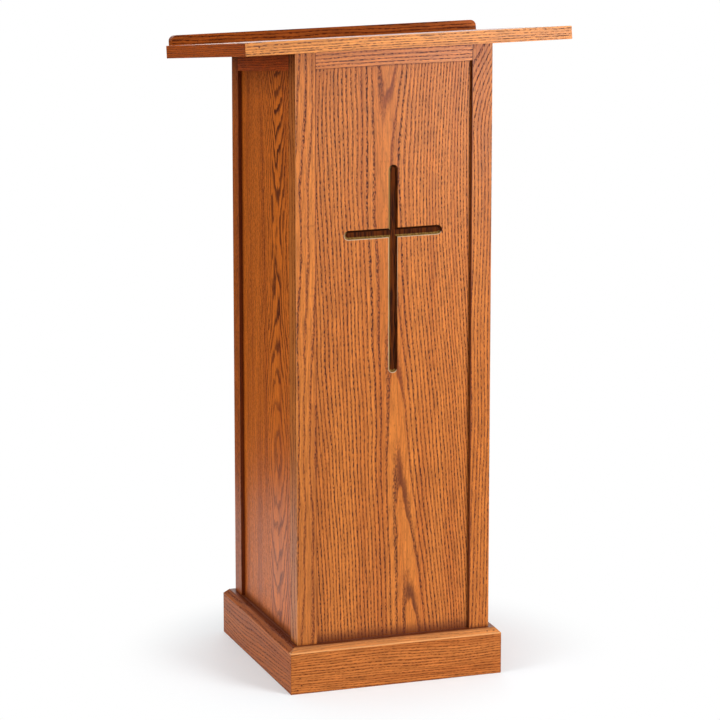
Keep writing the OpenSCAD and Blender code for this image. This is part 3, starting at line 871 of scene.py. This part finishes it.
rule, given = shape_tree("plinth_board", {
    "Length": "Float", "Height": "Float", "Thickness": "Float", "Chamfer": "Float", "Arris": "Float",
    "Drill Width": "Float", "Drill Reach": "Float", "Place": "Vector", "Turn": "Float",
    "Finish": "Material",
})
back = rule.times(given["Thickness"], -1.0)
top = rule.times(given["Height"], -1.0)
outline = line_through(rule, (
    rule.whole(0.0, 0.0),
    rule.whole(back, 0.0),
    rule.whole(back, top),
    rule.whole(rule.times(given["Chamfer"], -1.0), top),
    rule.whole(0.0, rule.plus(top, given["Chamfer"])),
))
outline = rule.get("GeometryNodeSetSplineCyclic", {"Geometry": outline, "Cyclic": True})
feeds = {"Curve": outline, "Radius": given["Arris"], "Count": 2}
outline = rule.get("GeometryNodeFilletCurve", feeds, mode="POLY")
half_length = rule.times(given["Length"], 0.5)
feeds = {"Start": rule.whole(rule.times(half_length, -1.0)), "End": rule.whole(half_length)}
board_line = rule.get("GeometryNodeCurvePrimitiveLine", feeds)
feeds = {"Curve": board_line, "Profile Curve": outline, "Fill Caps": True}
drawn = rule.get("GeometryNodeCurveToMesh", feeds)
x, y, _ = rule.parts(rule.get("GeometryNodeInputPosition"))
cut_back = rule.times(rule.reckon("SIGN", x), rule.times(rule.size_of(y), -1.0))
feeds = {"Geometry": drawn, "Offset": rule.whole(cut_back)}
mitred = rule.get("GeometryNodeSetPosition", feeds)
feeds = {"Geometry": mitred, "Translation": given["Place"], "Rotation": rule.whole(z=given["Turn"])}
in_place = rule.get("GeometryNodeTransform", feeds)
drill_radius = rule.times(given["Drill Width"], 0.5)
feeds = {"Vertices": 12, "Radius": drill_radius, "Depth": rule.times(given["Drill Reach"], 2.0)}
drill = rule.put("GeometryNodeMeshCylinder", feeds).outputs["Mesh"]
holes = on_driven_places(rule, given["Geometry"], drill, spin_seed=1)
finish_shape(rule, cut_out(rule, in_place, holes), given["Finish"])

pin_width = 0.0012
pin_places, pin_length = driven_places("plinth_pins")
pin_marks = [vertex.co.copy() for vertex in pin_places.vertices]
drill_past_pin = 0.001
plinth_low, plinth_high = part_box("plinth_front")
plinth_half_x = plinth_high.x
plinth_half_y = column_y - plinth_low.y
plinth_thickness = plinth_half_x - column_half_x
plinth_chamfer = 0.0095
plinth_arris = 0.0006
chamfer_z = plinth_top - plinth_chamfer


def plinth_glaze(recipe):
    """Painted shade, with some stain, on the ledge against the column; painted shade on the chamfers of the
    side boards and along the floor; stain in the mitres and round the pins."""
    ledge_depth = (plinth_top - 0.003, plinth_top - 0.001)
    ledge_width = (0.001, plinth_thickness - plinth_chamfer)
    mitre_reach = (0.0002, 0.0014)
    foot_reach = 0.004
    x, y, z = from_middle(recipe)
    on_ledge = recipe.eased(z, *ledge_depth)
    to_column = recipe.most(recipe.less(x, column_half_x), recipe.less(y, column_half_y))
    ledge = recipe.times(on_ledge, recipe.eased(to_column, *ledge_width, 0.97, 0.7))
    past_mitre = recipe.less(recipe.less(x, plinth_half_x), recipe.less(y, plinth_half_y))
    mitre = recipe.eased(recipe.size_of(past_mitre), *mitre_reach, 0.5, 0.0)
    foot = recipe.eased(z, 0.0, foot_reach, 0.35, 0.0)
    on_slope = recipe.eased(z, chamfer_z, chamfer_z + 0.001, 0.0, 0.4)
    side_slope = recipe.times(on_slope, recipe.eased(past_mitre, -0.0002, 0.0002))
    return recipe.most(ledge, mitre, foot, side_slope, recipe.round_pins(pin_marks))


def plinth_wear_and_highlight(recipe):
    """The front board's chamfer is painted lighter as a highlight, and its lower arris is rubbed pale where
    feet touch it, with a painted highlight there too.
    """
    arris_reach = (0.0008, 0.002)
    slope_start = (chamfer_z - 0.0002, chamfer_z + 0.0006)
    _, y, z = recipe.parts(recipe.here())
    inwards = recipe.less(recipe.less(column_y, y), plinth_half_y)
    outer = recipe.eased(inwards, -plinth_chamfer - 0.001, -plinth_chamfer)
    slope = recipe.eased(z, *slope_start, 0.0, 0.2)
    arris = recipe.eased(recipe.size_of(recipe.less(z, chamfer_z)), *arris_reach, 0.6, 0.0)
    return recipe.times(outer, recipe.most(slope, arris))


wide_wood = dict(ring_width=0.0044, golden=(0.505, 0.158, 0.034, 1), brown=(0.355, 0.09, 0.016, 1))
# The side boards take a darker, redder copy of the plinth wood: painted shade on the sides.
shaded_side_wood = dict(ring_width=0.007, golden=(0.455, 0.115, 0.014, 1), brown=(0.315, 0.066, 0.0064, 1))
for node, lies, turn, right, behind, length, growth in (
    ("plinth_front", "front level", 0, 0, -plinth_half_y, 2 * plinth_half_x, wide_wood),
    ("plinth_right", "side level", 90, plinth_half_x, 0, 2 * plinth_half_y, shaded_side_wood),
    ("plinth_rear", "front level", 180, 0, plinth_half_y, 2 * plinth_half_x, wide_wood),
    ("plinth_left", "side level", -90, -plinth_half_x, 0, 2 * plinth_half_y, shaded_side_wood),
):
    place = (right, column_y + behind, 0)
    finish = oak_finish(
        node, lies, (right + 0.05, column_y + behind, 0.3), plinth_glaze, plinth_wear_and_highlight, shine=0.1,
        heart_depth=0.06, fall_to_foot=0.006, ripple=0.0042, unevenness=1, wander=0.05, lines=0.64,
        flames=0.3, pores=0.66, **growth,
    )
    board = made_by_rule(node + "_oak", rule.tree, pin_places, {
        "Length": length, "Height": plinth_top, "Thickness": plinth_thickness,
        "Chamfer": plinth_chamfer, "Arris": plinth_arris, "Drill Width": pin_width,
        "Drill Reach": pin_length + drill_past_pin, "Place": place, "Turn": math.radians(turn),
        "Finish": finish,
    }, smooth_below=0)
    dressed(board, node)


# The headless pins that hold the mitres of the plinth and of the desk's lippings: cut steel wire, driven
# in and sunk a little below the surface, and darkened by the stain.
def turned(recipe, *stations):
    """A round body along Z. Each station gives a height and the radius there."""
    spine = line_through(recipe, [recipe.whole(z=height) for height, _ in stations])
    radii = chosen(recipe, [radius for _, radius in stations], "FLOAT")
    ring = recipe.get("GeometryNodeCurvePrimitiveCircle", {"Resolution": 16, "Radius": 1.0})
    feeds = {"Curve": spine, "Profile Curve": ring, "Scale": radii, "Fill Caps": True}
    return recipe.get("GeometryNodeCurveToMesh", feeds)


def steel_finish(name, bright, dull, smoothest, roughest, metallic):
    """Steel wire, drawn and rolled, with patches that have lost their shine."""
    patch_counts = (900, 900, 900)
    finish, recipe = new_finish(name)
    patches = recipe.eased(recipe.cloud(recipe.here(), patch_counts, 3.0), 0.35, 0.65)
    steel = recipe.get("ShaderNodeBsdfPrincipled", {
        "Base Color": recipe.laid_over(bright, dull, patches),
        "Metallic": metallic,
        "Roughness": recipe.eased(patches, 0, 1, smoothest, roughest),
    })
    recipe.put("ShaderNodeOutputMaterial", {"Surface": steel})
    return finish


crown_share = 0.6
point_share = 0.3
pin_sizes = {"Width": pin_width, "Crown": 0.0002, "Point": 0.0012}
sockets = dict.fromkeys(("Length", *pin_sizes), "Float")
rule, given = shape_tree("cut_pin", {**sockets, "Finish": "Material"})
half_width = rule.times(given["Width"], 0.5)
pin = turned(
    rule,
    (0.0, rule.times(half_width, crown_share)),
    (given["Crown"], half_width),
    (rule.less(given["Length"], given["Point"]), half_width),
    (given["Length"], rule.times(half_width, point_share)),
)
finish_shape(rule, on_driven_places(rule, given["Geometry"], pin, spin_seed=2), given["Finish"])

pin_steel = steel_finish("pin_steel_finish", bright=(0.09, 0.055, 0.04, 1), dull=(0.03, 0.018, 0.012, 1),
                         smoothest=0.45, roughest=0.7, metallic=0.6)
lipping_pin_places, lipping_pin_length = driven_places("lipping_pins")
for node, places, length in (
    ("plinth_pins", pin_places, pin_length),
    ("lipping_pins", lipping_pin_places, lipping_pin_length),
):
    values = {"Length": length, "Finish": pin_steel, **pin_sizes}
    pins = made_by_rule(node + "_wire", rule.tree, places, values, smooth_below=math.radians(40))
    dressed(pins, node)


# The bottom board and the cleats it lies on: oak strips screwed inside the bottom rails, and a loose
# board. The shelf lies on two more cleats, and a nosing is glued along its open edge.
for node, heart_y in (("bottom_board", 0.02), ("shelf", 0.05)):
    finish = oak_finish(node, "flat", (0.06, heart_y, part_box(node)[0].z), heart_depth=0.1,
                        ring_width=0.006, fall_to_foot=0.03, fall_to_head=0.02, straight_length=0.05)
    planed(node, finish)
for node in ("bottom_cleat_left", "bottom_cleat_right", "shelf_cleat_left", "shelf_cleat_right"):
    level_board(node, "side level", "inner_oak", fall_to_foot=0)
level_board("shelf_nosing", "front level", "frame_oak", fall_to_foot=0)


# The two cleats under the desk: oak strips inside the side top rails, cut to the slope of the desk, which
# is screwed down to them.
for node in ("desk_cleat_left", "desk_cleat_right"):
    level_board(node, "side level", "inner_oak", heart_above=0.04, slope=desk_slope, fall_to_foot=0)


# The desk: an oak board with solid lippings round it, mitred at the corners and pinned. The lippings at
# the front and the back took less stain than those at the sides.
finish = oak_finish("desk_board", "flat", (0.05, 0.03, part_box("desk_board")[1].z), slope=desk_slope,
                    heart_depth=0.13, ring_width=0.006, fall_to_foot=0.03, fall_to_head=0.025,
                    straight_length=0.06)
planed("desk_board", finish)

lipping_pin_marks = [vertex.co.copy() for vertex in lipping_pin_places.vertices]


def lipping_glaze(recipe):
    """Stain round the pins."""
    return recipe.round_pins(lipping_pin_marks)


for node in ("desk_lipping_front", "desk_lipping_rear"):
    level_board(node, "front level", "desk_oak", heart_above=0.03, glaze=lipping_glaze,
                slope=desk_slope, heart_depth=0.06, ring_width=0.0026, fall_to_foot=0, lines=0.4,
                ripple=0.0012, golden=(0.75, 0.27, 0.052, 1), brown=(0.56, 0.17, 0.025, 1))
for node in ("desk_lipping_left", "desk_lipping_right"):
    level_board(node, "side level", "desk_oak", slope=desk_slope, heart_depth=0.06, fall_to_foot=0,
                ring_width=0.0034, lines=0.5, pores=0.7, streaks=1,
                golden=(0.49, 0.093, 0.006, 1), brown=(0.28, 0.041, 0.003, 1))


# The book stop: an oak strip along the reader's edge of the desk, with rounded upper corners, screwed
# from below. It is the darkest piece, because it was stained twice and is handled most.
sine = math.sin(desk_slope)
cosine = math.cos(desk_slope)
clear_by = 0.001


def lift(vertex):
    """How high a corner is, measured square to the desk."""
    return vertex.co.y * sine + vertex.co.z * cosine


stop_foot = min(lift(vertex) for vertex in frame["nodes"]["book_stop"].data.vertices)


def above_desk(edge):
    return all(lift(end) > stop_foot + clear_by for end in edge.verts)


level_board("book_stop", "front level", "stop_oak", heart_along=0.05, eases=above_desk, shine=0.06,
            slope=desk_slope, ring_width=0.0028, ripple=0.0036, unevenness=1, fall_to_foot=0,
            lines=0.8, pores=0.7, streaks=1,
            golden=(0.45, 0.102, 0.011, 1), brown=(0.14, 0.023, 0.003, 1))


# The wood screws: zinc-plated steel with a countersunk head and a square drive, a plain neck and a rolled
# thread. They hold the cleats to the rails, the desk to its cleats, the book stop to the desk and the
# plinth to the column.
screw_sizes = {
    "Head Width": 0.008, "Head Height": 0.002, "Neck Width": 0.004, "Neck Share": 0.35,
    "Core Width": 0.0028, "Tip Length": 0.004, "Tip Width": 0.0008, "Thread Pitch": 0.0022,
    "Drive Width": 0.0024, "Drive Depth": 0.0016,
}
sockets = dict.fromkeys(("Length", *screw_sizes), "Float")
rule, given = shape_tree("wood_screw", {**sockets, "Finish": "Material"})
neck_end = rule.times(given["Length"], given["Neck Share"])
tip_start = rule.less(given["Length"], given["Tip Length"])
neck_radius = rule.times(given["Neck Width"], 0.5)
core_radius = rule.times(given["Core Width"], 0.5)
thread_depth = rule.less(neck_radius, core_radius)
body = turned(
    rule,
    (0.0, rule.times(given["Head Width"], 0.5)),
    (given["Head Height"], neck_radius),
    (neck_end, neck_radius),
    (rule.plus(neck_end, thread_depth), core_radius),
    (tip_start, core_radius),
    (given["Length"], rule.times(given["Tip Width"], 0.5)),
)
drive_depth = rule.times(given["Drive Depth"], 2.0)
feeds = {"Size": rule.whole(given["Drive Width"], given["Drive Width"], drive_depth)}
body = cut_out(rule, body, rule.put("GeometryNodeMeshCube", feeds).outputs["Mesh"])
thread_length = rule.less(tip_start, neck_end)
thread_radius = rule.less(neck_radius, rule.times(thread_depth, 0.5))
helix = rule.get("GeometryNodeCurveSpiral", {
    "Resolution": 14,
    "Rotations": rule.share(thread_length, given["Thread Pitch"]),
    "Start Radius": thread_radius,
    "End Radius": thread_radius,
    "Height": thread_length,
})
helix = rule.get("GeometryNodeSetCurveNormal", {"Curve": helix}, mode="Z_UP")
feeds = {"Resolution": 4, "Radius": rule.times(thread_depth, 0.5)}
ridge = rule.get("GeometryNodeCurvePrimitiveCircle", feeds)
feeds = {"Curve": helix, "Profile Curve": ridge, "Fill Caps": True}
thread = rule.get("GeometryNodeCurveToMesh", feeds)
feeds = {"Geometry": thread, "Translation": rule.whole(z=neck_end)}
thread = rule.get("GeometryNodeTransform", feeds)
joined = rule.put("GeometryNodeJoinGeometry")
for part in (thread, body):
    rule.feed(joined, {0: part})
screw = joined.outputs[0]
finish_shape(rule, on_driven_places(rule, given["Geometry"], screw, spin_seed=3), given["Finish"])

zinc = steel_finish("zinc_finish", bright=(0.62, 0.6, 0.52, 1), dull=(0.42, 0.38, 0.3, 1),
                    smoothest=0.26, roughest=0.42, metallic=1.0)
for node in ("plinth_screws", "cleat_screws", "desk_cleat_screws", "desk_screws", "book_stop_screws"):
    places, length = driven_places(node)
    values = {"Length": length, "Finish": zinc, **screw_sizes}
    screws = made_by_rule(node + "_zinc", rule.tree, places, values, smooth_below=math.radians(30))
    dressed(screws, node)
